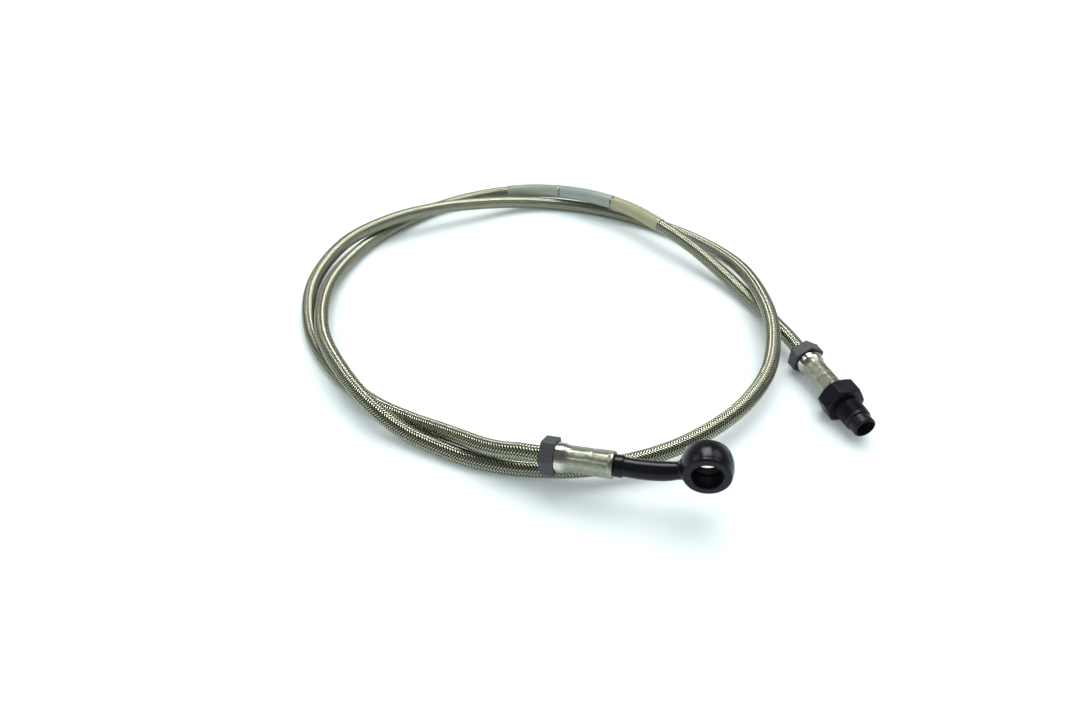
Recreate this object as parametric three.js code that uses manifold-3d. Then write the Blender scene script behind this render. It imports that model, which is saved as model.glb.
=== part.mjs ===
// A braided stainless steel brake hose, laid down in a double loop.
// Millimetres, +Z up. The hose lies on the surface at z = 0, and the origin is under
// the middle of the loop. The viewer of the photograph stands on the -Y side.
import * as THREE from "three";
import { mergeVertices } from "three/addons/utils/BufferGeometryUtils.js";
import Module from "manifold-3d";

const wasm = await Module();
wasm.setup();

// Driving sizes.
const clearance = 0.3; // between pieces that touch on the real hose

const hoseDiameter = 6.0; // over the braid
const braidThickness = 0.55;
const linerDiameter = 4.2;
const linerBore = 3.2;
const hoseSides = 12;
const linerSides = 8;
const hoseSteps = 78;
const straightRun = 29; // the hose is straight inside each end fitting and just behind it

const sleeveDiameter = 7.2;
const sleeveWall = 0.25;
const sleeveGap = 0.8;
const sleevesStart = 925.5; // along the hose from its banjo end
const sleeveLengths = [29, 30, 31.5];
const sleeveColours = ["#a9aaa0", "#b9c1bd", "#c2c09a"];

const ferruleLength = 24.1;
const ferruleInset = 0.4; // its rear face lies just inside the hexagon collar
const ferruleDiameter = 9.0; // crimped part
const bellDiameter = 10.3; // uncrimped rear part
const bellLength = 6.0;
const bellTaper = 3.4;
const rimDiameter = 9.4;
const rimLength = 1.0;
const lipThickness = 3.6; // front wall that grips the fitting's shank
const shankDiameter = 3.6;
const crimpFlats = 8;
const crimpDepth = 0.1;

const collarWall = 0.45; // at the middle of a flat
const collarAcrossFlats = bellDiameter + 2 * (clearance + collarWall);
const collarThickness = 4.9;

const tailDiameter = 2.4; // barbed nipple inside the liner
const barbHeight = 0.1;
const barbCount = 4;
const tailReach = 16; // how far it goes into the hose
const passageDiameter = 1.4;

const eyeDiameter = 17.0;
const eyeThickness = 9.5;
const eyeCrownRadius = 12; // of its barrel-shaped outside
const eyeEdgeRadius = 0.8;
const eyeBore = 10.1;
const eyeGrooveDepth = 0.6; // fluid groove round the middle of the bore
const eyeGrooveWidth = 3.0;
const eyeChamfer = 0.3;
const neckDiameter = 6.8;
const neckEndDiameter = 5.8;
const shoulderDiameter = 7.6;
const shoulderLength = 3.0;

const maleHexAcrossFlats = 14;
const maleHexThickness = 7.2;
const threadDiameter = 9.8;
const threadDepth = 0.55;
const threadPitch = 1.0;
const threadTurns = 7;
const undercutLength = 1.0;
const noseDiameter = 8.4;
const noseLength = 4.3;
const seatDiameter = 7.0; // wide end of the conical seat in the nose
const seatDepth = 3.2;

// Where the two ends lie: the rear face of each hexagon collar, and the way its fitting points.
const banjoEnd = { at: [-6.9, -93.4, 13.9], heading: -17.5, rise: 6.5 };
const maleEnd = { at: [97.6, -31.3, maleHexAcrossFlats / 2], heading: -74.7, rise: 0 };

// The free run of the hose, from the banjo end to the male end: x, y, and the height
// of its underside. It goes round nearly twice and crosses itself.
const freeRun = [
  [-20.3, -88.9, 8.6],
  [-27.4, -85.0, 6.5],
  [-35.8, -79.0, 4.3],
  [-44.4, -72.9, 2.2],
  [-55.6, -65.9, 0.3],
  [-70.8, -56.8, 0.1],
  [-88.7, -39.5, 0.1],
  [-105.3, -11.2, 0.4],
  [-111.0, 22.5, 2.6],
  [-101.5, 52.8, 5.2],
  [-81.8, 71.5, 6.8],
  [-61.4, 82.4, 6.8],
  [-42.4, 90.5, 5.0],
  [-22.3, 98.0, 2.0],
  [-4.3, 99.9, 0.3],
  [15.7, 95.6, 0.1],
  [35.0, 87.5, 0.1],
  [53.5, 76.3, 0.1],
  [70.6, 59.8, 1.0],
  [84.3, 31.6, 4.6],
  [88.3, 1.7, 7.6],
  [87.4, -20.8, 7.8],
  [80.5, -44.6, 6.8],
  [67.9, -63.2, 6.2],
  [54.5, -75.0, 5.4],
  [39.7, -84.0, 4.6],
  [26.3, -89.1, 4.0],
  [14.5, -91.7, 3.4],
  [3.1, -92.2, 2.2],
  [-7.9, -91.2, 1.2],
  [-19.2, -89.2, 0.4],
  [-31.2, -85.8, 0.1],
  [-43.7, -80.2, 0.2],
  [-57.1, -73.2, 1.6],
  [-69.6, -64.2, 5.2],
  [-84.4, -45.6, 6.8],
  [-98.1, -18.2, 5.8],
  [-103.4, 20.0, 2.6],
  [-95.3, 54.1, 0.4],
  [-79.7, 77.7, 0.1],
  [-63.3, 94.7, 0.1],
  [-46.2, 104.7, 0.6],
  [-26.7, 108.0, 2.6],
  [-5.3, 104.8, 5.2],
  [17.3, 94.5, 7.7],
  [36.6, 80.6, 8.2],
  [51.7, 62.4, 8.0],
  [64.3, 46.8, 6.0],
  [76.3, 29.5, 2.6],
  [85.3, 12.5, 0.6],
  [91.1, -4.8, 1.8],
  [92.9, -13.4, 3.1],
  [93.9, -18.0, 3.8],
];

// Finishes.
const finish = (color, roughness, metalness) =>
  new THREE.MeshStandardMaterial({ color, roughness, metalness });
const stainlessBraid = finish("#8f8f7c", 0.4, 0.9);
const linerPlastic = finish("#e6e4dc", 0.5, 0);
const nickelPlate = finish("#c3c2b4", 0.25, 1);
const blackCollar = finish("#3c3d42", 0.6, 0.3);
const blackFitting = finish("#22212a", 0.35, 0.6);

// Helpers.

// One closed body: shared vertices merged, slivers dropped, faces pointing out.
function closed(geometry) {
  const bare = new THREE.BufferGeometry();
  bare.setAttribute("position", geometry.getAttribute("position").clone());
  if (geometry.index) {
    bare.setIndex(geometry.index.clone());
  }
  const merged = mergeVertices(bare, 1e-4);
  const position = merged.getAttribute("position");
  const a = new THREE.Vector3();
  const b = new THREE.Vector3();
  const c = new THREE.Vector3();
  const kept = [];
  let volume = 0;
  for (let i = 0; i < merged.index.count; i += 3) {
    const [p, q, r] = [0, 1, 2].map((k) => merged.index.getX(i + k));
    if (p === q || q === r || r === p) {
      continue;
    }
    kept.push(p, q, r);
    a.fromBufferAttribute(position, p);
    b.fromBufferAttribute(position, q);
    c.fromBufferAttribute(position, r);
    volume += a.dot(b.cross(c));
  }
  if (volume < 0) {
    for (let i = 0; i < kept.length; i += 3) {
      [kept[i], kept[i + 1]] = [kept[i + 1], kept[i]];
    }
  }
  merged.setIndex(kept);
  return merged;
}

function solid(geometry) {
  const body = closed(geometry);
  return new wasm.Manifold(
    new wasm.Mesh({
      numProp: 3,
      vertProperties: new Float32Array(body.getAttribute("position").array),
      triVerts: new Uint32Array(body.index.array),
    })
  );
}

function geometryOf(body) {
  const { vertProperties, triVerts } = body.getMesh();
  const geometry = new THREE.BufferGeometry();
  geometry.setAttribute("position", new THREE.BufferAttribute(vertProperties, 3));
  geometry.setIndex(Array.from(triVerts));
  return geometry;
}

// A profile of [radius, z] points turned round the Z axis.
function turned(profile, segments) {
  const points = profile.map(([radius, z]) => new THREE.Vector2(radius, z));
  return new THREE.LatheGeometry(points, segments).rotateX(Math.PI / 2);
}

function polygon(radius, sides, turn = 0) {
  const path = new THREE.Path();
  for (let i = 0; i < sides; i += 1) {
    const angle = turn + (2 * Math.PI * i) / sides;
    const place = [radius * Math.cos(angle), radius * Math.sin(angle)];
    if (i === 0) {
      path.moveTo(...place);
    } else {
      path.lineTo(...place);
    }
  }
  path.closePath();
  return path;
}

function outline(radius, sides, turn = 0) {
  return new THREE.Shape(polygon(radius, sides, turn).getPoints());
}

// A tube along a curve; boreRadius 0 makes it solid.
function tube(curve, radius, sides, steps, boreRadius = 0, boreSides = sides) {
  const section = outline(radius, sides);
  if (boreRadius > 0) {
    section.holes.push(polygon(boreRadius, boreSides));
  }
  return new THREE.ExtrudeGeometry(section, { steps, extrudePath: curve, bevelEnabled: false });
}

// A hexagon along Z with its corners turned off by a cone at each end it is asked for.
function hexagon(acrossFlats, from, to, turn, chamferRear, chamferFront) {
  const cornerRadius = acrossFlats / Math.sqrt(3);
  const prism = new THREE.ExtrudeGeometry(outline(cornerRadius, 6, turn), {
    depth: to - from,
    bevelEnabled: false,
  }).translate(0, 0, from);
  const faceRadius = acrossFlats * 0.48;
  const drop = (cornerRadius - faceRadius) * Math.tan(Math.PI / 6);
  const wide = cornerRadius + 0.5;
  const wideDrop = (wide - faceRadius) * Math.tan(Math.PI / 6);
  const cone = [
    [0, chamferRear ? from : from - drop],
    [chamferRear ? faceRadius : wide, chamferRear ? from : from - drop],
    [wide, chamferRear ? from + wideDrop : from],
    [wide, chamferFront ? to - wideDrop : to],
    [chamferFront ? faceRadius : wide, chamferFront ? to : to + drop],
    [0, chamferFront ? to : to + drop],
  ];
  return solid(prism).intersect(solid(turned(cone, 48)));
}

// The frame of an end fitting: Z runs from the hose towards the tip, Y is up.
function endFrame({ at, heading, rise }) {
  const plan = THREE.MathUtils.degToRad(heading);
  const lift = THREE.MathUtils.degToRad(rise);
  const along = new THREE.Vector3(
    Math.cos(plan) * Math.cos(lift),
    Math.sin(plan) * Math.cos(lift),
    Math.sin(lift)
  );
  const across = new THREE.Vector3(0, 0, 1).cross(along).normalize();
  const up = along.clone().cross(across);
  return new THREE.Matrix4().makeBasis(across, up, along).setPosition(...at);
}

function piece(name, geometry, material) {
  const mesh = new THREE.Mesh(geometry, material);
  mesh.name = name;
  mesh.geometry.computeVertexNormals();
  return mesh;
}

// Stations along an end fitting, from the rear face of its collar.
const ferruleEnd = ferruleInset + ferruleLength;
const hoseEnd = ferruleEnd - lipThickness - 0.7;
const tailStart = hoseEnd - tailReach;
const bodyStart = ferruleEnd + clearance;

// The hose's centreline: straight into the banjo ferrule, free, straight into the male one.
const hoseRadius = hoseDiameter / 2;
const banjoFrame = endFrame(banjoEnd);
const maleFrame = endFrame(maleEnd);
const onBanjoAxis = (z) => new THREE.Vector3(0, 0, z).applyMatrix4(banjoFrame);
const onMaleAxis = (z) => new THREE.Vector3(0, 0, z).applyMatrix4(maleFrame);
const freePoints = freeRun.map(([x, y, lift]) => new THREE.Vector3(x, y, lift + hoseRadius));
const centreline = new THREE.CurvePath();
centreline.add(new THREE.LineCurve3(onBanjoAxis(hoseEnd), onBanjoAxis(hoseEnd - straightRun)));
centreline.add(
  new THREE.CatmullRomCurve3(
    [onBanjoAxis(hoseEnd - straightRun), ...freePoints, onMaleAxis(hoseEnd - straightRun)],
    false,
    "centripetal"
  )
);
centreline.add(new THREE.LineCurve3(onMaleAxis(hoseEnd - straightRun), onMaleAxis(hoseEnd)));

// A stretch of the hose as it is faceted, so that a sleeve bends where the hose's flats meet.
class Stretch extends THREE.Curve {
  constructor(corners, from, to) {
    super();
    const at = (place) => {
      const before = Math.min(Math.floor(place), corners.length - 2);
      return corners[before].clone().lerp(corners[before + 1], place - before);
    };
    this.bends = [at(from), ...corners.slice(Math.floor(from) + 1, Math.ceil(to)), at(to)];
  }

  getPoint(t, target = new THREE.Vector3()) {
    const place = t * (this.bends.length - 1);
    const before = Math.min(Math.floor(place), this.bends.length - 2);
    return target.lerpVectors(this.bends[before], this.bends[before + 1], place - before);
  }

  getPointAt(u, target) {
    return this.getPoint(u, target);
  }

  getTangentAt(u, target) {
    return this.getTangent(u, target);
  }
}

// The hose: a braid of stainless wire over a plastic liner.
const hose = new THREE.Group();
const braidBore = hoseRadius - braidThickness;
hose.add(
  piece(
    "hose_braid",
    closed(tube(centreline, hoseRadius, hoseSides, hoseSteps, braidBore, linerSides)),
    stainlessBraid
  ),
  piece(
    "hose_liner",
    closed(tube(centreline, linerDiameter / 2, linerSides, hoseSteps, linerBore / 2)),
    linerPlastic
  )
);

// Three clear sleeves slipped over the hose, one after the other.
const stepLength = centreline.getLength() / hoseSteps;
const hoseCorners = centreline.getSpacedPoints(hoseSteps);
let sleeveStart = sleevesStart;
sleeveLengths.forEach((length, index) => {
  const stretch = new Stretch(
    hoseCorners,
    sleeveStart / stepLength,
    (sleeveStart + length) / stepLength
  );
  const outside = sleeveDiameter / 2;
  const steps = stretch.bends.length - 1;
  const sleeve = closed(tube(stretch, outside, hoseSides, steps, outside - sleeveWall));
  const clear = finish(sleeveColours[index], 0.35, 0);
  hose.add(piece(`identification_sleeve_${index + 1}`, sleeve, clear));
  sleeveStart += length + sleeveGap;
});

// A crimped ferrule: a bell at the rear, crimp flats along its waist, a rim in front.
function ferrule() {
  const bore = hoseRadius + clearance;
  const bell = bellDiameter / 2;
  const waist = ferruleDiameter / 2;
  const waistStart = bellLength + bellTaper;
  const rimStart = ferruleEnd - rimLength;
  const middle = (waistStart + rimStart) / 2;
  const profile = [
    [bore, ferruleInset],
    [bell - 0.3, ferruleInset],
    [bell, ferruleInset + 0.3],
    [bell, bellLength],
    [bell - 0.12, bellLength + 0.8],
    [waist, waistStart],
    [waist, middle],
    [waist - 0.08, middle + 0.2],
    [waist, middle + 0.6],
    [waist, rimStart - 0.3],
    [rimDiameter / 2, rimStart],
    [rimDiameter / 2, ferruleEnd - 0.3],
    [rimDiameter / 2 - 0.2, ferruleEnd],
    [shankDiameter / 2 + clearance, ferruleEnd],
    [shankDiameter / 2 + clearance, ferruleEnd - lipThickness],
    [bore, ferruleEnd - lipThickness],
    [bore, ferruleInset],
  ];
  const flatRadius = (waist - crimpDepth) / Math.cos(Math.PI / crimpFlats);
  const jaws = outline(waist + 2, 24);
  jaws.holes.push(polygon(flatRadius, crimpFlats));
  const dies = new THREE.ExtrudeGeometry(jaws, {
    depth: rimStart - 0.3 - waistStart,
    bevelEnabled: false,
  }).translate(0, 0, waistStart);
  return geometryOf(solid(turned(profile, 24)).subtract(solid(dies)));
}

// The hexagon collar round the ferrule's rear end.
function collar(turn) {
  const bore = bellDiameter / 2 + clearance;
  const hole = [
    [0, -1],
    [bore, -1],
    [bore, collarThickness + 1],
    [0, collarThickness + 1],
  ];
  const body = hexagon(collarAcrossFlats, 0, collarThickness, Math.PI / 6 + turn, false, false);
  return geometryOf(body.subtract(solid(turned(hole, 32))));
}

// The shank and barbed tail that a fitting pushes into the liner.
function tail() {
  const root = tailDiameter / 2;
  const pitch = tailReach / (barbCount + 1);
  const profile = [
    [0, tailStart],
    [root - 0.15, tailStart],
  ];
  for (let i = 0; i < barbCount; i += 1) {
    const start = tailStart + pitch * i;
    profile.push([root + barbHeight, start + 0.8 * pitch], [root, start + pitch]);
  }
  profile.push(
    [root, hoseEnd + clearance],
    [shankDiameter / 2, hoseEnd + clearance],
    [shankDiameter / 2, bodyStart + 1],
    [0, bodyStart + 1]
  );
  return solid(turned(profile, 16));
}

// The banjo fitting: shoulder, bent neck and eye, with its passage open to the bore.
const eyeRadius = eyeDiameter / 2;
const eyeCentre = new THREE.Vector3(3.65, 1.65, 53.9);
const eyeTurn = THREE.MathUtils.degToRad(7.7);
const neckLine = [
  [0, 0, bodyStart],
  [0, 0, bodyStart + shoulderLength],
  [0.2, -0.3, 33],
  [1.5, -0.9, 40.5],
].map((place) => new THREE.Vector3(...place));
const eyeEntry = new THREE.Vector3(2.65, -0.7, 45.4);

function banjo() {
  const shoulder = [
    [0, bodyStart],
    [shoulderDiameter / 2, bodyStart],
    [shoulderDiameter / 2, bodyStart + shoulderLength - 0.4],
    [neckDiameter / 2 - 0.2, bodyStart + shoulderLength],
    [0, bodyStart + shoulderLength],
  ];
  const neckCurve = new THREE.CatmullRomCurve3([...neckLine, eyeEntry], false, "centripetal");
  const inward = eyeCentre.clone().sub(eyeEntry).normalize();
  const wallMiddle = (eyeRadius + eyeBore / 2) / 2;
  const root = eyeCentre.clone().addScaledVector(inward, -wallMiddle);
  const stub = new THREE.LineCurve3(eyeEntry.clone().addScaledVector(inward, -0.6), root);

  const half = eyeThickness / 2;
  const edge = eyeEdgeRadius;
  const reach = half - edge; // of the crown to each side of its middle
  const crownAt = (z) => eyeRadius - eyeCrownRadius + Math.sqrt(eyeCrownRadius ** 2 - z ** 2);
  const face = crownAt(reach) - edge;
  const quarter = Array.from({ length: 4 }, (_, i) => (Math.PI / 2) * (i / 3));
  const rear = quarter.map((a) => [face + edge * Math.sin(a), -half + edge - edge * Math.cos(a)]);
  const front = rear.map(([radius, z]) => [radius, -z]).reverse();
  const crown = [-0.6, -0.2, 0.2, 0.6].map((share) => [crownAt(share * reach), share * reach]);
  const ring = [[0, -half], ...rear, ...crown, ...front, [0, half]];
  const mouth = eyeBore / 2 + eyeChamfer;
  const bore = [
    [0, -half - 1],
    [mouth + 1, -half - 1],
    [mouth, -half],
    [eyeBore / 2, -half + eyeChamfer],
    [eyeBore / 2, -eyeGrooveWidth / 2],
    [eyeBore / 2 + eyeGrooveDepth, -eyeGrooveWidth / 2 + eyeGrooveDepth],
    [eyeBore / 2 + eyeGrooveDepth, eyeGrooveWidth / 2 - eyeGrooveDepth],
    [eyeBore / 2, eyeGrooveWidth / 2],
    [eyeBore / 2, half - eyeChamfer],
    [mouth, half],
    [mouth + 1, half + 1],
    [0, half + 1],
  ];
  const seated = (profile) =>
    turned(profile, 40)
      .rotateY(-Math.PI / 2 + eyeTurn)
      .translate(eyeCentre.x, eyeCentre.y, eyeCentre.z);
  const passage = new THREE.CatmullRomCurve3(
    [
      new THREE.Vector3(0, 0, tailStart - 1),
      new THREE.Vector3(0, 0, tailStart + tailReach / 2),
      new THREE.Vector3(0, 0, bodyStart - 2),
      ...neckLine,
      eyeEntry,
      root,
      eyeCentre,
    ],
    false,
    "centripetal"
  );
  return geometryOf(
    solid(turned(shoulder, 28))
      .add(tail())
      .add(solid(tube(neckCurve, neckDiameter / 2, 20, 8)))
      .add(solid(tube(stub, neckEndDiameter / 2, 20, 1)))
      .add(solid(seated(ring)))
      .subtract(solid(seated(bore)))
      .subtract(solid(tube(passage, passageDiameter / 2, 6, 18)))
  );
}

// The male fitting: hexagon, thread, nose with a conical seat, passage to the tail.
function male() {
  const hexEnd = bodyStart + maleHexThickness;
  const threadStart = hexEnd + undercutLength;
  const threadEnd = threadStart + threadTurns * threadPitch;
  const tip = threadEnd + noseLength;
  const crest = threadDiameter / 2;
  const root = crest - threadDepth;
  const stem = [
    [0, hexEnd - 1],
    [root, hexEnd - 1],
    [root, threadStart],
  ];
  for (let i = 0; i < threadTurns; i += 1) {
    const start = threadStart + i * threadPitch;
    stem.push([crest, start + 0.4 * threadPitch], [crest, start + 0.6 * threadPitch]);
    stem.push([root, start + threadPitch]);
  }
  stem.push(
    [noseDiameter / 2, threadEnd + 0.2],
    [noseDiameter / 2, tip - 0.4],
    [noseDiameter / 2 - 0.3, tip],
    [0, tip]
  );
  const seat = [
    [0, tailStart - 1],
    [passageDiameter / 2, tailStart - 1],
    [passageDiameter / 2, tip - seatDepth],
    [seatDiameter / 2, tip],
    [seatDiameter / 2 + 0.3, tip + 0.3],
    [0, tip + 0.3],
  ];
  return geometryOf(
    hexagon(maleHexAcrossFlats, bodyStart, hexEnd, 0, true, true)
      .add(tail())
      .add(solid(turned(stem, 24)))
      .subtract(solid(turned(seat, 20)))
  );
}

// The two ends, each put together along its own axis.
function end(frame, pieces) {
  const group = new THREE.Group();
  frame.decompose(group.position, group.quaternion, group.scale);
  group.add(...pieces);
  return group;
}

const banjoAssembly = end(banjoFrame, [
  piece("banjo_hex_collar", collar(THREE.MathUtils.degToRad(5)), blackCollar),
  piece("banjo_ferrule", ferrule(), nickelPlate),
  piece("banjo_fitting", banjo(), blackFitting),
]);
const maleAssembly = end(maleFrame, [
  piece("male_hex_collar", collar(0), blackCollar),
  piece("male_ferrule", ferrule(), nickelPlate),
  piece("male_fitting", male(), blackFitting),
]);

const brakeHose = new THREE.Group();
brakeHose.add(hose, banjoAssembly, maleAssembly);

export default brakeHose;
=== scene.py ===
import math

import bpy
import numpy as np
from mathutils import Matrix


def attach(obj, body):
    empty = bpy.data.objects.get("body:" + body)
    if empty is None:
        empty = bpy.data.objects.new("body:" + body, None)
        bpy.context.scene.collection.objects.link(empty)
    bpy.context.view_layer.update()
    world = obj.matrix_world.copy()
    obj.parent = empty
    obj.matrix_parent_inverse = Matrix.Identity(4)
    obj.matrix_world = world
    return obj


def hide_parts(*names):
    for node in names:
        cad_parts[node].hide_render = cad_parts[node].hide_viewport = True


# A braided stainless steel brake hose laid down in a double loop: a banjo eye at one
# end, a male threaded fitting at the other, and three clear sleeves over the braid.
# Places are in metres, with +Z up from the surface that the hose lies on. The heights and
# radii of the end fittings' profiles are in millimetres.

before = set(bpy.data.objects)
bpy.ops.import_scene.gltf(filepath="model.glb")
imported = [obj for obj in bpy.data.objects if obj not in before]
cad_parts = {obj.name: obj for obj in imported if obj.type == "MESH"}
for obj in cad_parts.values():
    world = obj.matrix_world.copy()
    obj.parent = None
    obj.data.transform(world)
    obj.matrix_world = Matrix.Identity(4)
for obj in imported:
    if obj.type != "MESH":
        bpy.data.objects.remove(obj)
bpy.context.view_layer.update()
MM = 0.001

# The viewer stands in front of the loop and looks down over it. The view is as wide as
# that of a 26 mm lens on 36 mm film.
camera = bpy.data.objects.new("camera", bpy.data.cameras.new("camera"))
camera.data.lens = 26
camera.data.sensor_width = 36
camera.data.clip_start = 0.01
camera.location = (-0.0080, -0.2743, 0.2060)
camera.rotation_euler = (math.radians(90 - 39.8), 0, 0)
bpy.context.scene.collection.objects.link(camera)
bpy.context.scene.camera = camera

# The hose: 6 mm over its braid, straight where it leaves each end fitting, and laid round
# nearly twice in between. Its two ends are known by the rear face of their hexagon collar.
BANJO_END = {"at": (-0.0069, -0.0934, 0.0139), "heading": -17.5, "rise": 6.5}
MALE_END = {"at": (0.0976, -0.0313, 0.0070), "heading": -74.7, "rise": 0}
HOSE_RADIUS = 3.0 * MM
HOSE_END = 20.2 * MM  # how far the hose reaches into a fitting from its collar's rear face
STRAIGHT_RUN = 29 * MM  # the hose is straight from its end to a little behind the collar
FREE_RUN = [  # x, y, and the height of the hose's underside
    (-0.0203, -0.0889, 0.0086), (-0.0274, -0.0850, 0.0065), (-0.0358, -0.0790, 0.0043),
    (-0.0444, -0.0729, 0.0022), (-0.0556, -0.0659, 0.0003), (-0.0708, -0.0568, 0.0001),
    (-0.0887, -0.0395, 0.0001), (-0.1053, -0.0112, 0.0004), (-0.1110, 0.0225, 0.0026),
    (-0.1015, 0.0528, 0.0052), (-0.0818, 0.0715, 0.0068), (-0.0614, 0.0824, 0.0068),
    (-0.0424, 0.0905, 0.0050), (-0.0223, 0.0980, 0.0020), (-0.0043, 0.0999, 0.0003),
    (0.0157, 0.0956, 0.0001), (0.0350, 0.0875, 0.0001), (0.0535, 0.0763, 0.0001),
    (0.0706, 0.0598, 0.0010), (0.0843, 0.0316, 0.0046), (0.0883, 0.0017, 0.0076),
    (0.0874, -0.0208, 0.0078), (0.0805, -0.0446, 0.0068), (0.0679, -0.0632, 0.0062),
    (0.0545, -0.0750, 0.0054), (0.0397, -0.0840, 0.0046), (0.0263, -0.0891, 0.0040),
    (0.0145, -0.0917, 0.0034), (0.0031, -0.0922, 0.0022), (-0.0079, -0.0912, 0.0012),
    (-0.0192, -0.0892, 0.0004), (-0.0312, -0.0858, 0.0001), (-0.0437, -0.0802, 0.0002),
    (-0.0571, -0.0732, 0.0016), (-0.0696, -0.0642, 0.0052), (-0.0844, -0.0456, 0.0068),
    (-0.0981, -0.0182, 0.0058), (-0.1034, 0.0200, 0.0026), (-0.0953, 0.0541, 0.0004),
    (-0.0797, 0.0777, 0.0001), (-0.0633, 0.0947, 0.0001), (-0.0462, 0.1047, 0.0006),
    (-0.0267, 0.1080, 0.0026), (-0.0053, 0.1048, 0.0052), (0.0173, 0.0945, 0.0077),
    (0.0366, 0.0806, 0.0082), (0.0517, 0.0624, 0.0080), (0.0643, 0.0468, 0.0060),
    (0.0763, 0.0295, 0.0026), (0.0853, 0.0125, 0.0006), (0.0911, -0.0048, 0.0018),
    (0.0929, -0.0134, 0.0031), (0.0939, -0.0180, 0.0038),
]


def end_frame(end):
    """Origin and axes of an end fitting: across, up, and along towards its tip. Along
    points by heading in plan and by rise above level; across lies level."""
    plan, lift = math.radians(end["heading"]), math.radians(end["rise"])
    along = np.array(
        [math.cos(plan) * math.cos(lift), math.sin(plan) * math.cos(lift), math.sin(lift)]
    )
    across = np.cross([0, 0, 1], along)
    across /= np.linalg.norm(across)
    return np.array(end["at"]), across, np.cross(along, across), along


def on_axis(end, height):
    """The point of an end's axis at a height above its origin."""
    origin, _, _, along = end_frame(end)
    return origin + height * along


def curve_through(points, places=60):
    """Centripetal Catmull-Rom curve: each stretch blends the lines through four points,
    with knots apart by the square root of their distance and the ends mirrored."""
    p = np.vstack([2 * points[0] - points[1], points, 2 * points[-1] - points[-2]])
    knots = np.cumsum(np.r_[0, np.sqrt(np.linalg.norm(np.diff(p, axis=0), axis=1))])
    t0, t1, t2, t3 = (knots[k : len(knots) - 3 + k, None, None] for k in range(4))
    p0, p1, p2, p3 = (p[k : len(p) - 3 + k, None, :] for k in range(4))
    t = t1 + (t2 - t1) * (np.arange(places) / places)[None, :, None]
    a1 = ((t1 - t) * p0 + (t - t0) * p1) / (t1 - t0)
    a2 = ((t2 - t) * p1 + (t - t1) * p2) / (t2 - t1)
    a3 = ((t3 - t) * p2 + (t - t2) * p3) / (t3 - t2)
    b1 = ((t2 - t) * a1 + (t - t0) * a2) / (t2 - t0)
    b2 = ((t3 - t) * a2 + (t - t1) * a3) / (t3 - t1)
    curve = ((t2 - t) * b1 + (t - t1) * b2) / (t2 - t1)
    return np.vstack([curve.reshape(-1, 3), points[-1:]])


def measured(points, step, ease):
    """A line resampled at equal steps: distance, place, and the two directions across it,
    one level and one upward. Directions are averaged over the length ease."""
    walked = np.r_[0, np.cumsum(np.linalg.norm(np.diff(points, axis=0), axis=1))]
    distance = np.linspace(0, walked[-1], int(round(walked[-1] / step)) + 1)
    place = np.stack([np.interp(distance, walked, points[:, k]) for k in range(3)], 1)
    along = np.gradient(place, distance, axis=0)
    reach = max(1, int(round(ease / step)))
    window = np.hanning(2 * reach + 3)[1:-1]
    padded = np.pad(along, ((reach, reach), (0, 0)), mode="edge")
    along = np.stack([np.convolve(padded[:, k], window, "valid") for k in range(3)], 1)
    along /= np.linalg.norm(along, axis=1, keepdims=True)
    across = np.cross([0, 0, 1], along)
    across /= np.linalg.norm(across, axis=1, keepdims=True)
    return distance, place, across, np.cross(along, across)


def around(line, distance, angle, radius):
    """Points round a line: its place at that distance, plus radius times the cosine of the
    angle across it and the sine upward. The three inputs are arrays that broadcast."""
    known, place, across, up = line
    at, side, rise = (
        np.stack([np.interp(distance, known, table[:, k]) for k in range(3)], -1)
        for table in (place, across, up)
    )
    offset = np.cos(angle)[..., None] * side + np.sin(angle)[..., None] * rise
    return at + np.asarray(radius)[..., None] * offset


def mesh_of(name, points, corners, sizes, uv, crease):
    """A mesh object from arrays: corners lists the points of all faces, sizes how many each
    face has, and uv a place for each corner. If the faces enclose a negative volume, they
    are turned over by reading the corners backwards. Edges over crease degrees are
    sharp."""
    starts = np.r_[0, np.cumsum(sizes)[:-1]]
    a, b, c = (points[corners[starts + k]] for k in range(3))
    volume = np.einsum("ij,ij->i", a, np.cross(b, c)).sum()
    if sizes.max() == 4:
        four = starts[sizes == 4]
        a, c, d = (points[corners[four + k]] for k in (0, 2, 3))
        volume += np.einsum("ij,ij->i", a, np.cross(c, d)).sum()
    if volume < 0:
        corners, sizes, uv = corners[::-1], sizes[::-1], uv[::-1]
        starts = np.r_[0, np.cumsum(sizes)[:-1]]
    mesh = bpy.data.meshes.new(name)
    mesh.vertices.add(len(points))
    mesh.vertices.foreach_set("co", points.astype(np.float32).ravel())
    mesh.loops.add(len(corners))
    mesh.loops.foreach_set("vertex_index", corners.astype(np.int32))
    mesh.polygons.add(len(sizes))
    mesh.polygons.foreach_set("loop_start", starts.astype(np.int32))
    layer = mesh.uv_layers.new(name="surface")
    layer.data.foreach_set("uv", uv.astype(np.float32).ravel())
    mesh.update(calc_edges=True)
    mesh.validate()
    mesh.shade_smooth()
    mesh.set_sharp_from_angle(angle=math.radians(crease))
    piece = bpy.data.objects.new(name, mesh)
    bpy.context.scene.collection.objects.link(piece)
    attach(piece, "root")
    return piece


QUAD = [(0, 0), (0, 1), (1, 1), (1, 0)]  # steps by row and column to a face's corners


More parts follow.
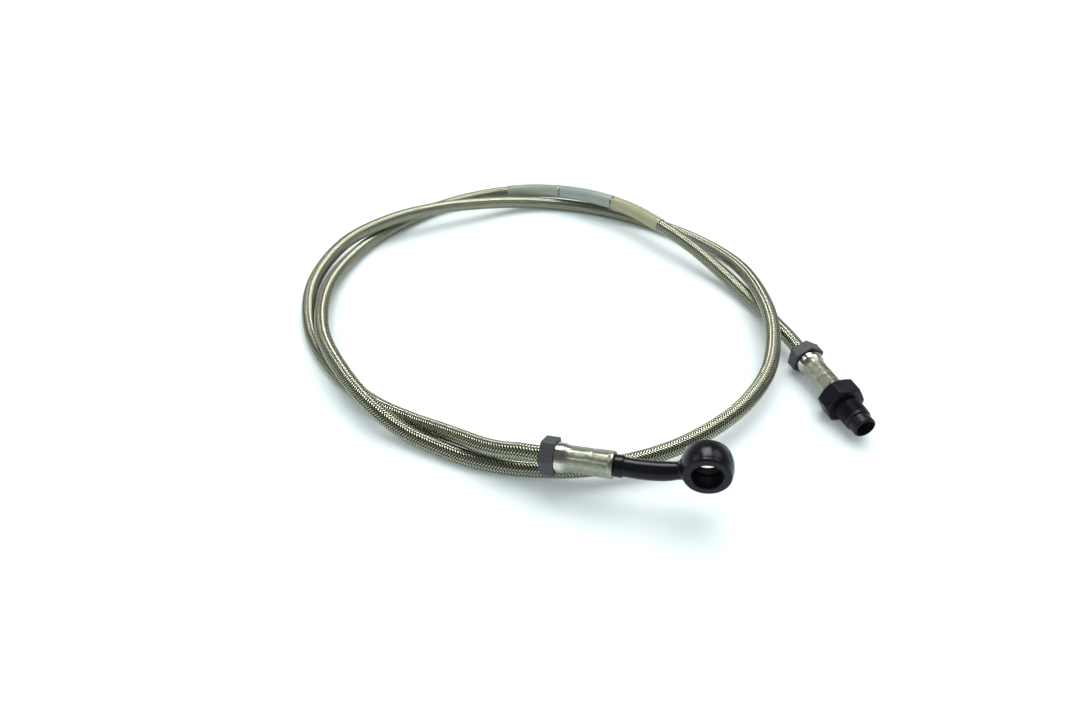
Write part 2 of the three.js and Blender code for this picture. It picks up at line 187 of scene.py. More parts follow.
def closed_grid(name, grid, u, v, crease=35):
    """A mesh from a grid of points that closes on itself both ways, as a tube with a wall
    does: rows follow the outline of the wall and columns go round. u and v are the map's
    values for columns and rows, each one longer than the grid."""
    rows, columns = grid.shape[:2]
    i, j = np.meshgrid(np.arange(rows), np.arange(columns), indexing="ij")
    corners = np.stack([(i + a) % rows * columns + (j + b) % columns for a, b in QUAD], -1)
    uv = np.stack([np.stack([u[j + b], v[i + a]], -1) for a, b in QUAD], -2)
    sizes = np.full(rows * columns, 4)
    return mesh_of(
        name, grid.reshape(-1, 3), corners.ravel(), sizes, uv.reshape(-1, 2), crease
    )


def sleeve_round(name, line, outline, sides, crease=35):
    """A tube with a wall along a line. Its outline is a closed list of distance and radius,
    carried round the line at equal angles."""
    distance, radius = np.array(outline).T
    angle = np.arange(sides) * 2 * np.pi / sides
    grid = around(line, distance[:, None], angle[None, :], radius[:, None])
    u = np.arange(sides + 1) / sides
    v = np.r_[distance, distance[0]] / MM
    return closed_grid(name, grid, u, v, crease)


def turned(name, axes, rows, crease=35):
    """A closed surface about an axis. Each row is a height along it and the distances from
    it at equal angles, in millimetres."""
    origin, across, up, along = axes
    stations = np.array([height for height, _ in rows]) * MM
    radii = np.array([distances for _, distances in rows]) * MM
    angle = np.arange(radii.shape[1]) * 2 * np.pi / radii.shape[1]
    grid = (
        origin
        + radii[..., None] * (np.cos(angle)[:, None] * across + np.sin(angle)[:, None] * up)
        + stations[:, None, None] * along
    )
    u = np.arange(radii.shape[1] + 1) / radii.shape[1]
    v = np.r_[stations, stations[0]] / MM
    return closed_grid(name, grid, u, v, crease)


def colour(code):
    """Linear red, green, blue and alpha of an sRGB hex colour such as #8f8f7c."""
    part = np.array([int(code[k : k + 2], 16) for k in (1, 3, 5)]) / 255
    linear = np.where(part <= 0.04045, part / 12.92, ((part + 0.055) / 1.055) ** 2.4)
    return (*linear.tolist(), 1.0)


def node(tree, kind, settings=(), **inputs):
    """Adds one node. Settings are pairs of its own fields; each input is a value or the
    output that feeds it, with spaces in a socket's name written as underscores."""
    made = tree.nodes.new(kind)
    for field, value in settings:
        setattr(made, field, value)
    for name, value in inputs.items():
        key = int(name[1:]) if name[0] == "_" else name.replace("_", " ")
        if isinstance(value, bpy.types.NodeSocket):
            tree.links.new(value, made.inputs[key])
        else:
            made.inputs[key].default_value = value
    return made


def finish(name, **inputs):
    """A new material whose shader has these constant values; returns it, its node tree and
    its shader."""
    material = bpy.data.materials.new(name)
    material.use_nodes = True
    shader = material.node_tree.nodes["Principled BSDF"]
    for key, value in inputs.items():
        shader.inputs[key.replace("_", " ")].default_value = value
    return material, material.node_tree, shader


def maths(tree, operation, *values):
    """The output of a maths node whose inputs are these numbers and outputs."""
    inputs = {f"_{k}": value for k, value in enumerate(values)}
    return node(tree, "ShaderNodeMath", [("operation", operation)], **inputs).outputs[0]


def noise(tree, scale, detail, place=None):
    """The output of a noise about the object's own place, or about another one."""
    if place is None:
        place = node(tree, "ShaderNodeTexCoord").outputs["Object"]
    made = node(tree, "ShaderNodeTexNoise", Vector=place, Scale=scale, Detail=detail)
    return made.outputs["Fac"]


def ranged(tree, value, source, target, interpolation="LINEAR"):
    """The output of a map from one pair of limits to another, held at both ends."""
    made = node(
        tree,
        "ShaderNodeMapRange",
        [("interpolation_type", interpolation)],
        Value=value,
        From_Min=source[0],
        From_Max=source[1],
        To_Min=target[0],
        To_Max=target[1],
    )
    return made.outputs[0]


def blend(tree, factor, first, second):
    """The output of a mix of two colours, each one an sRGB hex code or an output."""
    first, second = (colour(c) if isinstance(c, str) else c for c in (first, second))
    rgba = [("data_type", "RGBA")]
    return node(tree, "ShaderNodeMix", rgba, _0=factor, _6=first, _7=second).outputs[2]


def feed(tree, shader, **outputs):
    """Links outputs to the shader's sockets, with spaces written as underscores."""
    for name, output in outputs.items():
        tree.links.new(output, shader.inputs[name.replace("_", " ")])


def relief(tree, height, strength, distance):
    """The normal of a bump whose height is an output."""
    made = node(
        tree, "ShaderNodeBump", Height=height, Strength=strength, Distance=distance
    )
    return made.outputs[0]


def seen_rays(tree):
    """Two outputs: one for rays that see a surface, straight or in metal or through glass,
    and one for the straight ones alone. Rays that only gather light have neither."""
    rays = node(tree, "ShaderNodeLightPath").outputs
    seen = rays["Is Camera Ray"]
    for kind in ("Is Glossy Ray", "Is Transmission Ray"):
        seen = maths(tree, "MAXIMUM", seen, rays[kind])
    return seen, rays["Is Camera Ray"]


# Under the braid lies painted shade: a dark tube, seen in the gaps between the outer wires
# where little light reaches. It follows the middle line of the hose from end to end.
straight_to = HOSE_END - STRAIGHT_RUN
route = [
    on_axis(BANJO_END, straight_to),
    *(np.array(FREE_RUN) + [0, 0, HOSE_RADIUS]),
    on_axis(MALE_END, straight_to),
]
hose_line = measured(
    np.vstack(
        [
            on_axis(BANJO_END, HOSE_END),
            curve_through(np.array(route)),
            on_axis(MALE_END, HOSE_END),
        ]
    ),
    step=0.25 * MM,
    ease=1.5 * MM,
)
hose_length = hose_line[0][-1]

CORE_RADIUS = 2.52 * MM
CORE_BORE = 2.34 * MM
CORE_RINGS = 520
rings = np.linspace(0, hose_length, CORE_RINGS)
braid_shade_tube = sleeve_round(
    "braid_shade_tube",
    hose_line,
    [(s, CORE_RADIUS) for s in rings] + [(s, CORE_BORE) for s in rings[::-1]],
    sides=20,
)
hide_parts("hose_braid")

# Painted shade: near-black steel with a fine grain, duller than the outer wires, dark
# because little light reaches between them.
painted_shade_wire, tree, shader = finish("painted_shade_under_braid", Metallic=1.0, Roughness=0.55)
grain = noise(tree, scale=1800.0, detail=3.0)
feed(tree, shader, Base_Color=blend(tree, grain, "#080807", "#10100d"))
braid_shade_tube.data.materials.append(painted_shade_wire)

# The braid: 24 flat bundles of stainless wire, 12 laid each way round, each passing over
# two and under two of the others at the angle at which a braid neither grows nor shrinks.
CARRIERS = 12
BRAID_ANGLE = math.radians(54.7)
LAY_RADIUS = 2.9 * MM  # where the wires lie at that angle
BRAID_RADIUS = 2.7 * MM  # middle of the interlacing
INTERLACE = 0.18 * MM
BUNDLE_WIDTH = 0.56 * MM
BUNDLE_CROWN = 0.2 * MM
WIRES = 4  # real bundles have five or six; four still show as single wires
BRAID_TUCK = 1.5 * MM  # how far the braid goes on inside each collar
lead = 2 * math.pi * LAY_RADIUS / math.tan(BRAID_ANGLE)
crossing = lead / (2 * CARRIERS)
braid_from = HOSE_END - BRAID_TUCK
braid_to = hose_length - HOSE_END + BRAID_TUCK


def bundles(name, hand):
    """The twelve bundles of one hand. A bundle's middle line is a helix: its angle grows
    evenly with distance. Its height steps between over and under at each crossing, two
    and two. The section is a flat triangle that is shaded round, closed at both ends."""
    count = int((braid_to - braid_from) / crossing)
    carrier = np.arange(CARRIERS)[:, None, None]
    step = np.arange(count)[None, :, None]
    other = (carrier + hand * step) % CARRIERS
    over = np.where((carrier + other) % 4 < 2, 1.0, -1.0) * hand
    turn = 2 * np.pi * (hand * step / (2 * CARRIERS) + carrier / CARRIERS)
    side = np.array([-1.0, 0.0, 1.0])[None, None, :]
    radius = BRAID_RADIUS + INTERLACE * over + BUNDLE_CROWN * (side == 0)
    shift = side * BUNDLE_WIDTH / 2
    distance = braid_from + step * crossing - hand * shift * math.sin(BRAID_ANGLE)
    angle = turn + shift * math.cos(BRAID_ANGLE) / radius
    points = around(hose_line, distance, angle, radius)
    k, i, j = np.meshgrid(
        np.arange(CARRIERS), np.arange(count - 1), np.arange(3), indexing="ij"
    )
    corners = np.stack([k * count * 3 + (i + a) * 3 + (j + b) % 3 for a, b in QUAD], -1)
    # The map: across a bundle, and along it in turns of two over and two under.
    across = np.array([0.0, 0.5, 1.0, 0.0])
    turns = [(hand * (i + a) + 2 * k) / 4 + (1 - hand) / 4 for a, _ in QUAD]
    uv = np.stack(
        [np.stack([across[j + b], turn], -1) for (_, b), turn in zip(QUAD, turns)], -2
    )
    base = np.arange(CARRIERS)[:, None] * count * 3
    near = base + np.array([2, 1, 0])
    far = base + (count - 1) * 3 + np.array([0, 1, 2])
    caps = np.concatenate([near, far]).ravel()
    sizes = np.r_[np.full(k.size, 4), np.full(2 * CARRIERS, 3)]
    return mesh_of(
        name,
        points.reshape(-1, 3),
        np.r_[corners.ravel(), caps],
        sizes,
        np.vstack([uv.reshape(-1, 2), np.zeros((len(caps), 2))]),
        crease=80,
    )


braid = [bundles("braid_wires_right", 1), bundles("braid_wires_left", -1)]

# Drawn stainless wire: bright and slightly warm, smooth along its length. Painted shade
# darkens it towards black where the wires of a bundle touch, towards each bundle's edges,
# and where a bundle dips under the others.
steel_wire, tree, shader = finish("drawn_stainless_wire", Metallic=1.0, Roughness=0.3)
unrolled = node(tree, "ShaderNodeUVMap").outputs[0]
spread = node(tree, "ShaderNodeSeparateXYZ", Vector=unrolled)
over_width, over_turns = spread.outputs["X"], spread.outputs["Y"]
phase = maths(tree, "MULTIPLY", over_width, math.pi * WIRES)
wire = maths(tree, "ABSOLUTE", maths(tree, "SINE", phase))
# Painted shade in the creases where the wires of a bundle touch.
crease_shade = ranged(tree, wire, (0.0, 0.5), (0.6, 1.0))
# Painted shade towards each bundle's edges.
middle = maths(tree, "SINE", maths(tree, "MULTIPLY", over_width, math.pi))
edge = ranged(tree, middle, (0.1, 0.85), (0.0, 1.0))
# Painted shade where a bundle dips under the others, as little light reaches it there: the
# cosine of its place in the turn of two over and two under is highest in the middle of the
# part that lies over.
turns = maths(tree, "MULTIPLY_ADD", over_turns, 2 * math.pi, -math.pi / 4)
lit = ranged(tree, maths(tree, "COSINE", turns), (-0.5, 0.6), (0.0, 1.0))
# The three painted shades multiply into one factor that darkens the wire towards near
# black.
light = maths(tree, "MULTIPLY", maths(tree, "MULTIPLY", edge, lit), crease_shade)
bright = blend(tree, noise(tree, scale=220.0, detail=2.0), "#c6c9ae", "#e0e3cb")
feed(
    tree,
    shader,
    Base_Color=blend(tree, light, "#0e0d0a", bright),
    Normal=relief(tree, wire, strength=0.2, distance=0.06 * MM),
)
for piece in braid:
    piece.data.materials.append(steel_wire)
    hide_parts("hose_braid")

# Inside lies the liner, which keeps the solid that the CAD made. It is extruded waxy
# white fluoropolymer, hidden by the braid.
liner_plastic, tree, shader = finish("extruded_ptfe", Roughness=0.45, IOR=1.35)
cloud = noise(tree, scale=300.0, detail=2.0)
feed(tree, shader, Base_Color=blend(tree, cloud, "#dcdad2", "#efede6"))
for slot in bpy.data.objects["hose_liner"].material_slots:
    slot.material = liner_plastic

# Three sleeves of clear heat-shrink tube mark the hose, one after the other. They carry no
# print. Each has its own tint: greyish, silvery and yellowish.
SLEEVES_START = 925.5 * MM
SLEEVE_GAP = 0.8 * MM
SLEEVE_WALL = 0.3 * MM
SLEEVE_RADIUS = 3.38 * MM
SLEEVE_EDGE = 0.08 * MM  # its outer edges are broken by this much
SLEEVE_RINGS = 32
SLEEVES = [
    (29.0, "clear_sleeve_grey", "#b2b4a9", "#a0a397"),
    (30.0, "clear_sleeve_silver", "#acb4ab", "#a0a9a0"),
    (31.5, "clear_sleeve_yellow", "#b8b795", "#acaa84"),
]
start = SLEEVES_START
for index, (length, slot, pale, deep) in enumerate(SLEEVES, 1):
    end = start + length * MM
    outer, inner = SLEEVE_RADIUS, SLEEVE_RADIUS - SLEEVE_WALL
    rings = np.linspace(start + SLEEVE_EDGE, end - SLEEVE_EDGE, SLEEVE_RINGS)
    sleeve = sleeve_round(
        f"sleeve_{index}",
        hose_line,
        [(start, outer - SLEEVE_EDGE)]
        + [(s, outer) for s in rings]
        + [(end, outer - SLEEVE_EDGE), (end, inner)]
        + [(s, inner) for s in rings[::-1]]
        + [(start, inner)],
        sides=48,
        crease=60,
    )
    # Clear polyolefin, milky in itself, with a gloss that its roughness blurs.
    clear, tree, shader = finish(
        f"clear_shrink_tube_{index}", Roughness=0.22, IOR=1.49, Alpha=0.72
    )
    cloud = noise(tree, scale=160.0, detail=2.0)
    feed(
        tree,
        shader,
        Base_Color=blend(tree, cloud, deep, pale),
        Normal=relief(tree, cloud, strength=0.3, distance=0.1 * MM),
    )
    sleeve.data.materials.append(clear)
    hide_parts(f"identification_sleeve_{index}")
    start = end + SLEEVE_GAP

# Each end of the hose is held by a ferrule: a nickel plated steel cup, pressed down over
# the braid by eight jaws that leave fine ridges along it, with a bell left at its rear.
FERRULE_PROFILE = [  # height, radius, and how much of the jaws' marks shows there
    (20.9, 3.3, 0), (0.4, 3.3, 0), (0.4, 4.85, 0), (0.49, 5.05, 0), (0.7, 5.15, 0),
    (3.6, 5.16, 0), (6.3, 5.15, 0), (6.9, 5.12, 0), (7.4, 5.02, 0), (8.0, 4.82, 0.1),
    (8.6, 4.6, 0.3), (9.2, 4.44, 0.6), (9.9, 4.37, 0.9), (11.0, 4.35, 1), (13.0, 4.35, 1),
    (15.0, 4.36, 1), (16.7, 4.38, 1), (17.0, 4.34, 0.7), (17.25, 4.32, 0.6),
    (17.5, 4.38, 0.8), (17.8, 4.42, 1), (20.0, 4.48, 1), (22.5, 4.54, 1), (23.1, 4.56, 0.8),
    (23.4, 4.63, 0.3), (23.6, 4.7, 0), (24.1, 4.7, 0), (24.35, 4.65, 0), (24.5, 4.5, 0),
    (24.5, 2.1, 0), (20.9, 2.1, 0),
]
JAWS = 8
FLASH_HEIGHT, FLASH_WIDTH = 0.1, 0.05  # the width is a share of a jaw's
JAW_RISE, JAW_DEPTH = 0.07, 0.2
FERRULE_COLUMNS = 192


def pressed(name, end, turn):
    """A ferrule: between two jaws its radius falls by a parabola to a shallow flat, and
    where they met it rises in a narrow line of flash. Turn is where the first ones met."""
    angle = np.arange(FERRULE_COLUMNS) * 2 * np.pi / FERRULE_COLUMNS
    jaw = ((angle - turn) * JAWS / (2 * np.pi) + 0.5) % 1 - 0.5
    flash = FLASH_HEIGHT * np.exp(-((jaw / FLASH_WIDTH) ** 2))
    marks = flash + JAW_RISE - JAW_DEPTH * (1 - (1 - 2 * np.abs(jaw)) ** 2)
    rows = [(height, radius + mark * marks) for height, radius, mark in FERRULE_PROFILE]
    return turned(name, end_frame(end), rows, crease=40)


ferrules = [
    pressed("ferrule_banjo_end", BANJO_END, math.radians(87.5)),
    pressed("ferrule_male_end", MALE_END, math.radians(113)),
]

# Bright nickel over steel, a little warm, with fine lengthwise marks from the press. Past
# the bell the press left it duller and stained.
nickel, tree, shader = finish("bright_nickel_plate", Metallic=1.0)
unrolled = node(tree, "ShaderNodeUVMap").outputs[0]
lengthwise = node(tree, "ShaderNodeMapping", Vector=unrolled, Scale=(60.0, 0.2, 1.0))
marks = noise(tree, scale=1.0, detail=4.0, place=lengthwise.outputs[0])
mottle = noise(tree, scale=700.0, detail=3.0)
height = node(tree, "ShaderNodeSeparateXYZ", Vector=unrolled).outputs["Y"]
crimped = ranged(tree, height, (6.8, 9.0), (0.0, 1.0))
worn = ranged(tree, mottle, (0.3, 0.7), (0.26, 0.42))
dullness = node(tree, "ShaderNodeMix", _0=crimped, _2=0.12, _3=worn)
plain = blend(tree, marks, "#b4b5a9", "#cfd0c5")
stained = blend(tree, mottle, "#76796a", "#b4b7a7")
feed(
    tree,
    shader,
    Base_Color=blend(tree, crimped, plain, stained),
    Roughness=dullness.outputs[0],
    Normal=relief(tree, marks, strength=0.2, distance=0.05 * MM),
)
for piece, cad_node in zip(ferrules, ["banjo_ferrule", "male_ferrule"]):
    piece.data.materials.append(nickel)
    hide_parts(cad_node)

# A black hexagon collar sits round the rear of each ferrule. Its edges are only just
# broken, and its hole clears the ferrule's bell.
COLLAR_FLAT = 5.9  # half its width across flats
COLLAR_CORNER = 1.135 * COLLAR_FLAT
COLLAR_THICKNESS = 4.9
COLLAR_BORE = 5.24
BORE_EDGE = 0.12
COLLAR_EDGE, EDGE_MIDDLE = 0.16, 0.05
HEX_COLUMNS = 240


def hexagon(flat, turn):
    """Distance from the axis to a hexagon's outline: half the width across flats over the
    cosine of the angle from the nearest flat's middle."""
    angle = np.arange(HEX_COLUMNS) * 2 * np.pi / HEX_COLUMNS - turn
    return flat / np.cos((angle + np.pi / 6) % (np.pi / 3) - np.pi / 6)


def collar(name, end, turn):
    """A hexagon ring: the outline is drawn in a little at each face, and capped by a circle
    so that the six edges are rounded."""
    outline = np.minimum(hexagon(COLLAR_FLAT, turn), COLLAR_CORNER)
    bore = np.full_like(outline, COLLAR_BORE)
    edge = [
        (0, outline - COLLAR_EDGE),
        (EDGE_MIDDLE, outline - EDGE_MIDDLE),
        (COLLAR_EDGE, outline),
    ]
    rows = [(COLLAR_THICKNESS - BORE_EDGE, bore), (BORE_EDGE, bore), (0, bore + BORE_EDGE)]
    rows += edge + [(COLLAR_THICKNESS - height, radii) for height, radii in edge[::-1]]
    rows.append((COLLAR_THICKNESS, bore + BORE_EDGE))
    return turned(name, end_frame(end), rows, crease=20)


collars = [
    collar("collar_banjo_end", BANJO_END, math.radians(5)),
    collar("collar_male_end", MALE_END, 0),
]

# Matt black paint over steel, with the fine grain that a sprayed coat dries with.
matt_black, tree, shader = finish("matt_black_paint", Roughness=0.55, IOR=1.5)
grain = noise(tree, scale=2500.0, detail=3.0)
cloud = noise(tree, scale=350.0, detail=2.0)
feed(
    tree,
    shader,
    Base_Color=blend(tree, cloud, "#2f3035", "#3c3d42"),
    Normal=relief(tree, grain, strength=0.35, distance=0.05 * MM),
)
for piece, cad_node in zip(collars, ["banjo_hex_collar", "male_hex_collar"]):
    piece.data.materials.append(matt_black)
    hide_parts(cad_node)

# The banjo fitting is one steel forging: a barbed tail inside the hose, a shoulder against
# the ferrule, a bent neck, and an eye that is crowned like a barrel and bored for its bolt.
banjo_axes = end_frame(BANJO_END)
PASSAGE, TAIL_TIP, TAIL, BARB, SHANK = 0.7, 1.05, 1.2, 1.3, 1.8  # radii
TAIL_FROM, TAIL_TO = 4.2, 20.5
BARBS, BARB_PITCH, BARB_FALL = 4, 3.2, 0.6


def barbed_tail(first):
    """Heights and radii of the tail that a fitting has in the hose, from its tip to its
    shank. Its four barbs rise slowly and fall off steeply, the first at this height."""
    rows = [(TAIL_FROM, PASSAGE), (TAIL_FROM, TAIL_TIP)]
    for peak in first + BARB_PITCH * np.arange(BARBS):
        rows += [(peak, BARB), (peak + BARB_FALL, TAIL)]
    return rows + [(TAIL_TO, TAIL), (TAIL_TO, SHANK)]


def from_banjo(points):
    """Points given in the banjo end's frame, in millimetres, as places."""
    origin, across, up, along = banjo_axes
    x, y, z = np.array(points, float).T[..., None] * MM
    return origin + x * across + y * up + z * along


NECK_LINE = [
    (0, 0, 4.2), (0, 0, 14), (0, 0, 24.8), (0, 0, 27.8), (0.2, -0.3, 33.0),
    (1.5, -0.9, 40.5), (2.65, -0.7, 45.4), (2.98, 0.1, 48.0),
]
NECK_PROFILE = [(height - TAIL_FROM, radius) for height, radius in barbed_tail(6.8)]
NECK_PROFILE += [  # distance along the neck, radius
    (20.6, SHANK), (20.6, 3.62), (20.78, 3.8), (23.2, 3.8), (23.45, 3.66), (23.7, 3.36),
    (24.4, 3.33), (27, 3.34), (30, 3.36), (33, 3.36), (36, 3.3), (38.5, 3.18), (40.0, 3.02),
    (40.8, 2.98), (41.4, 3.06), (42.0, 3.35), (42.6, 3.8), (43.9, 3.6), (43.9, PASSAGE),
]
NECK_STEP = 0.8  # its rings lie about this far apart
neck_line = measured(
    curve_through(from_banjo(NECK_LINE)), step=0.1 * MM, ease=1.0 * MM
)
neck_outline = [
    (z * MM, r * MM)
    for a, b in zip(NECK_PROFILE, NECK_PROFILE[1:] + NECK_PROFILE[:1])
    for z, r in np.linspace(
        a, b, max(1, int(abs(b[0] - a[0]) / NECK_STEP)), endpoint=False
    )
]
banjo_neck = sleeve_round("banjo_neck", neck_line, neck_outline, sides=64, crease=40)

# The eye is turned, with a crowned outside, flat faces and broken edges. Its bore has a
# groove round its middle, and its axis lies level across the neck, turned a little.
EYE_CENTRE = (3.65, 1.65, 53.9)
EYE_TURN = math.radians(7.7)
EYE_RADIUS = 8.5
EYE_HALF = 4.75
EYE_CROWN = 12.0
EYE_EDGE = 0.8
EYE_BORE = 5.05
EYE_CHAMFER = 0.3
GROOVE_DEPTH = 0.6
GROOVE_MOUTH, GROOVE_FLOOR = 1.5, 0.9  # half its widths
EYE_COLUMNS = 128
_, across, up, along = banjo_axes
eye_axes = (
    from_banjo([EYE_CENTRE])[0],
    up,
    math.cos(EYE_TURN) * along + math.sin(EYE_TURN) * across,
    math.sin(EYE_TURN) * along - math.cos(EYE_TURN) * across,
)
reach = np.linspace(-1, 1, 15) * (EYE_HALF - EYE_EDGE)
crown = EYE_RADIUS - EYE_CROWN + np.sqrt(EYE_CROWN**2 - reach**2)
lip = crown[0] - EYE_EDGE
rounding = [
    (EYE_EDGE * (1 - math.sin(a)), lip + EYE_EDGE * math.cos(a))
    for a in np.linspace(0, np.pi / 2, 7)
]
eye_rows = [
    (EYE_HALF - EYE_CHAMFER, EYE_BORE),
    (GROOVE_MOUTH, EYE_BORE),
    (GROOVE_FLOOR, EYE_BORE + GROOVE_DEPTH),
    (-GROOVE_FLOOR, EYE_BORE + GROOVE_DEPTH),
    (-GROOVE_MOUTH, EYE_BORE),
    (-EYE_HALF + EYE_CHAMFER, EYE_BORE),
    (-EYE_HALF, EYE_BORE + EYE_CHAMFER),
]
eye_rows += [(inset - EYE_HALF, radius) for inset, radius in rounding[::-1]]
eye_rows += list(zip(reach[1:-1], crown[1:-1]))
eye_rows += [(EYE_HALF - inset, radius) for inset, radius in rounding]
eye_rows.append((EYE_HALF, EYE_BORE + EYE_CHAMFER))
banjo_eye = turned(
    "banjo_eye", eye_axes, [(height, np.full(EYE_COLUMNS, r)) for height, r in eye_rows]
)

# The male fitting, turned from hexagon bar: barbed tail, hexagon chamfered at both ends,
# a right-hand thread of 1 mm pitch, and a nose with a conical seat and a drilled passage.
HEX_FLAT = 7.0  # half its width across flats
HEX_CORNER = 1.148 * HEX_FLAT
HEX_FROM, HEX_TO = 24.8, 32.0
CHAMFER_RADIUS, CHAMFER_SLOPE = 6.72, math.tan(math.radians(30))
CHAMFER_DROPS = (0, 0.15, 0.3, 0.45, 0.6, 0.8)
THREAD_FROM, THREAD_TO = 33.0, 39.0
THREAD_ROOT, THREAD_CREST, THREAD_PITCH = 4.35, 4.9, 1.0
THREAD_LEAD, THREAD_OVERRUN = 0.5, 0.3  # before the full thread and after it
THREAD_RISE, THREAD_FADE = 0.7, 0.9  # the lengths over which it starts and ends
FLANK_TOP, FLANK_SLOPE = 1.35, 3.2
UNDERCUT = THREAD_ROOT - 0.1
BAND_TO = 40.3  # a plain band follows the thread
BAND_SHARE = 0.8  # of the thread's height, where the thread runs out into the band
NOSE_RADIUS, TIP = 4.2, 44.3
SEAT_RADIUS, SEAT_DEPTH = 3.5, 3.2


def thread_rows():
    """Rows of the thread. The radius has one crest in each pitch, with straight flanks, and
    moves by a pitch along the axis in each turn. It rises from the root at the start and
    fades into the plain band at the end."""
    low, high = THREAD_FROM - THREAD_LEAD, THREAD_TO + THREAD_OVERRUN
    angle = np.arange(HEX_COLUMNS) * 2 * np.pi / HEX_COLUMNS
    rows = []
    for height in np.linspace(low, high, 90):
        turns = (height / THREAD_PITCH - angle / (2 * np.pi)) % 1
        flank = np.clip(FLANK_TOP - FLANK_SLOPE * np.abs(turns - 0.5), 0, 1)
        start = np.clip((height - low) / THREAD_RISE, 0, 1)
        run_out = np.clip((high - height) / THREAD_FADE, 0, 1)
        full = flank * run_out + BAND_SHARE * (1 - run_out)
        rows.append((height, THREAD_ROOT + (THREAD_CREST - THREAD_ROOT) * full * start))
    return rows


ring = np.ones(HEX_COLUMNS)
flats = np.minimum(hexagon(HEX_FLAT, math.radians(30)), HEX_CORNER)
cones = [
    (drop, np.minimum(flats, CHAMFER_RADIUS + drop / CHAMFER_SLOPE))
    for drop in CHAMFER_DROPS
]
male_rows = [(height, radius * ring) for height, radius in barbed_tail(6.5)]
male_rows.append((HEX_FROM, SHANK * ring))
male_rows += [(HEX_FROM + drop, radii) for drop, radii in cones]
male_rows += [(HEX_TO - drop, radii) for drop, radii in cones[::-1]]
male_rows += [(HEX_TO, UNDERCUT * ring), (THREAD_FROM - 0.6, UNDERCUT * ring)]
male_rows += thread_rows()
male_rows += [
    (height, radius * ring)
    for height, radius in [
        (BAND_TO - 0.3, THREAD_CREST - 0.15), (BAND_TO + 0.2, NOSE_RADIUS),
        (TIP - 0.4, NOSE_RADIUS), (TIP - 0.1, NOSE_RADIUS - 0.2), (TIP, NOSE_RADIUS - 0.35),
        (TIP, SEAT_RADIUS), (TIP - SEAT_DEPTH, PASSAGE),
    ]
]
male_body = turned("male_body", end_frame(MALE_END), male_rows, crease=28)

# Black zinc-nickel plating on steel: nearly black with a blue cast, satin from the acid
# dip on the banjo fitting and duller on the male one, whose bar was drawn rougher.
plating = []
for name, smoothest, roughest in [
    ("black_zinc_nickel_satin", 0.17, 0.26), ("black_zinc_nickel_dull", 0.34, 0.44)
]:
    black_plate, tree, shader = finish(
        name, Metallic=0.2, IOR=1.45, Specular_IOR_Level=0.25
    )
    grain = noise(tree, scale=1500.0, detail=4.0)
    cloud = noise(tree, scale=260.0, detail=3.0)
    feed(
        tree,
        shader,
        Base_Color=blend(tree, cloud, "#0e0e15", "#181722"),
        Roughness=ranged(tree, cloud, (0.3, 0.7), (smoothest, roughest)),
        Normal=relief(tree, grain, strength=0.12, distance=0.04 * MM),
    )
    plating.append(black_plate)

# Inside the eye's bore and the nose's seat the steel is rough, and the plating carries
# painted shade: nearly black and with almost no reflection, as these recesses get little
# light. A face is one of these by the place of its middle.
bore_shade, tree, shader = finish(
    "painted_shade_in_bore", Roughness=0.6, IOR=1.45, Specular_IOR_Level=0.05
)
grain = noise(tree, scale=1200.0, detail=3.0)
feed(tree, shader, Base_Color=blend(tree, grain, "#060608", "#0b0b0f"))

for piece, cad_node, plate in [
    (banjo_neck, "banjo_fitting", plating[0]),
    (banjo_eye, "banjo_fitting", plating[0]),
    (male_body, "male_fitting", plating[1]),
]:
    piece.data.materials.append(plate)
    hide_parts(cad_node)

MARGIN = 0.05  # the middle of each face of a bore lies at least this far inside its limits
for piece, axes, radius, low, high in [
    (
        banjo_eye, eye_axes, EYE_BORE + GROOVE_DEPTH + MARGIN,
        EYE_CHAMFER + MARGIN - EYE_HALF, EYE_HALF - EYE_CHAMFER - MARGIN,
    ),
    (
        male_body, end_frame(MALE_END), SEAT_RADIUS - MARGIN,
        TIP - SEAT_DEPTH - MARGIN, TIP,
    ),
]:
    centres = np.empty(3 * len(piece.data.polygons))
    piece.data.polygons.foreach_get("center", centres)
    centres = (centres.reshape(-1, 3) - axes[0]) / MM
    depth = centres @ axes[3]
    from_axis = np.linalg.norm(centres - depth[:, None] * axes[3], axis=1)
    bored = (from_axis < radius) & (depth > low) & (depth < high)
    # The faces inside the bores take the painted shade.
    piece.data.materials.append(bore_shade)
    piece.data.polygons.foreach_set("material_index", bored.astype(np.int32))

on_axis(BANJO_END, 0).tolist()

# A plain white table, with the soft light of a studio: one broad light from high behind
# and a little to the right, and a white room. The table shows white to the eye and in
# reflections, and keeps the hose's shadow.
floor = bpy.data.objects.new("floor", bpy.data.meshes.new("floor"))
floor.data.from_pydata(
    [(-6, -6, 0), (6, -6, 0), (6, 6, 0), (-6, 6, 0)], [], [(0, 1, 2, 3)]
)
bpy.context.scene.collection.objects.link(floor)
table, tree, shader = finish(
    "white_table",
    Base_Color=colour("#eef4f5"),
    Roughness=0.9,
    Specular_IOR_Level=0.0,
    Emission_Color=colour("#fdfeff"),
)
seen, _ = seen_rays(tree)
feed(tree, shader, Emission_Strength=maths(tree, "MULTIPLY", seen, 0.06))
floor.data.materials.append(table)

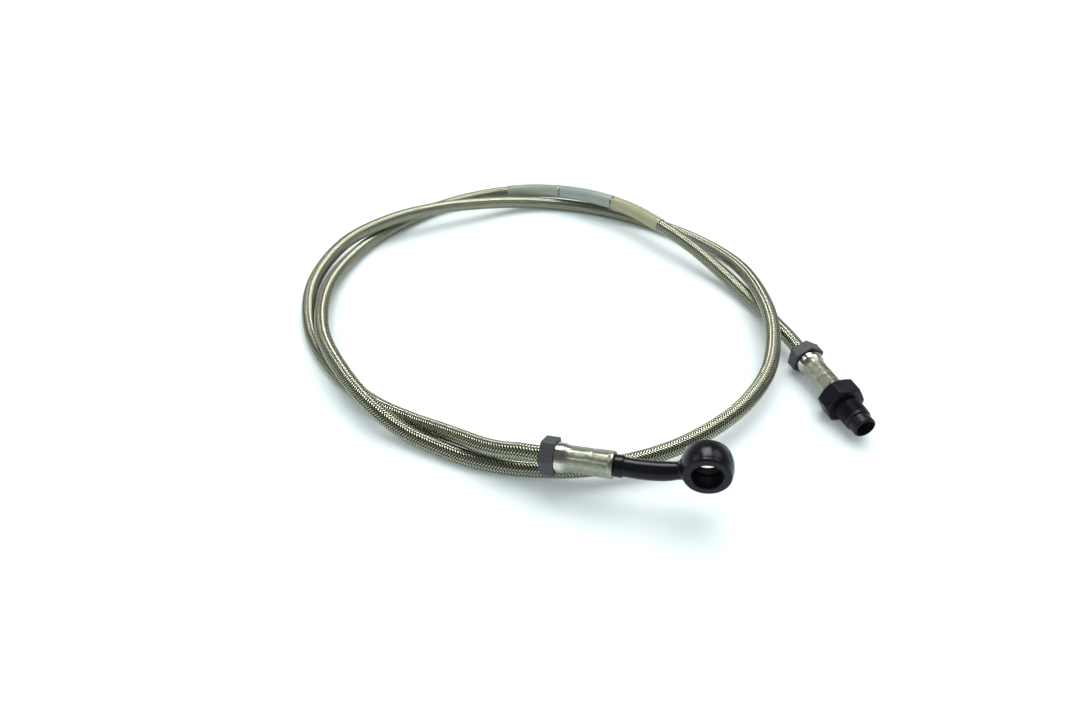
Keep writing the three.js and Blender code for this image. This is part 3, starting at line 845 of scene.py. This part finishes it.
key = bpy.data.objects.new("key", bpy.data.lights.new("key", "SUN"))
key.data.energy = 1.95
key.data.color = (1.0, 0.985, 0.965)
key.data.angle = math.radians(54)
key.rotation_euler = (math.radians(-22.6), math.radians(6), 0)
key.visible_glossy = False
bpy.context.scene.collection.objects.link(key)

# What shines in the metal: the square panel of the broad light, and two fainter ones to
# its left and right. They add nothing to plain surfaces, which the broad light serves.
PANEL_DISTANCE = 0.6  # metres from the middle of the loop
for name, azimuth, elevation, size, glow in [
    ("panel_back", 88, 67, 0.32, 11.0),
    ("panel_left", 165, 42, 0.26, 1.8),
    ("panel_right", 20, 52, 0.26, 2.6),
]:
    panel = bpy.data.objects.new(name, bpy.data.lights.new(name, "AREA"))
    panel.data.size = size
    panel.data.energy = glow * math.pi * size**2
    turn, lift = math.radians(azimuth), math.radians(elevation)
    panel.location = (
        PANEL_DISTANCE * math.cos(turn) * math.cos(lift),
        PANEL_DISTANCE * math.sin(turn) * math.cos(lift),
        PANEL_DISTANCE * math.sin(lift),
    )
    panel.rotation_euler = (math.pi / 2 - lift, 0, turn + math.pi / 2)
    panel.visible_diffuse = False
    bpy.context.scene.collection.objects.link(panel)

world = bpy.data.worlds.new("white_room")
bpy.context.scene.world = world
world.use_nodes = True
tree = world.node_tree
tree.nodes.clear()
seen, straight = seen_rays(tree)
soft = node(tree, "ShaderNodeBackground", Color=colour("#eef9fb"), Strength=0.83)
place = node(tree, "ShaderNodeTexCoord").outputs["Generated"]
upward = node(tree, "ShaderNodeSeparateXYZ", Vector=place).outputs["Z"]
# In metal and glass the room is darker overhead; straight rays see it white all over.
overhead = ranged(tree, upward, (0.02, 0.5), (0.55, 0.15), "SMOOTHSTEP")
glow = maths(tree, "MAXIMUM", overhead, straight)
white = node(tree, "ShaderNodeBackground", Color=colour("#ffffff"), Strength=glow)
both = node(
    tree, "ShaderNodeMixShader", _0=seen, _1=soft.outputs[0], _2=white.outputs[0]
)
node(tree, "ShaderNodeOutputWorld", Surface=both.outputs[0])

bpy.context.scene.view_settings.view_transform = "Standard"
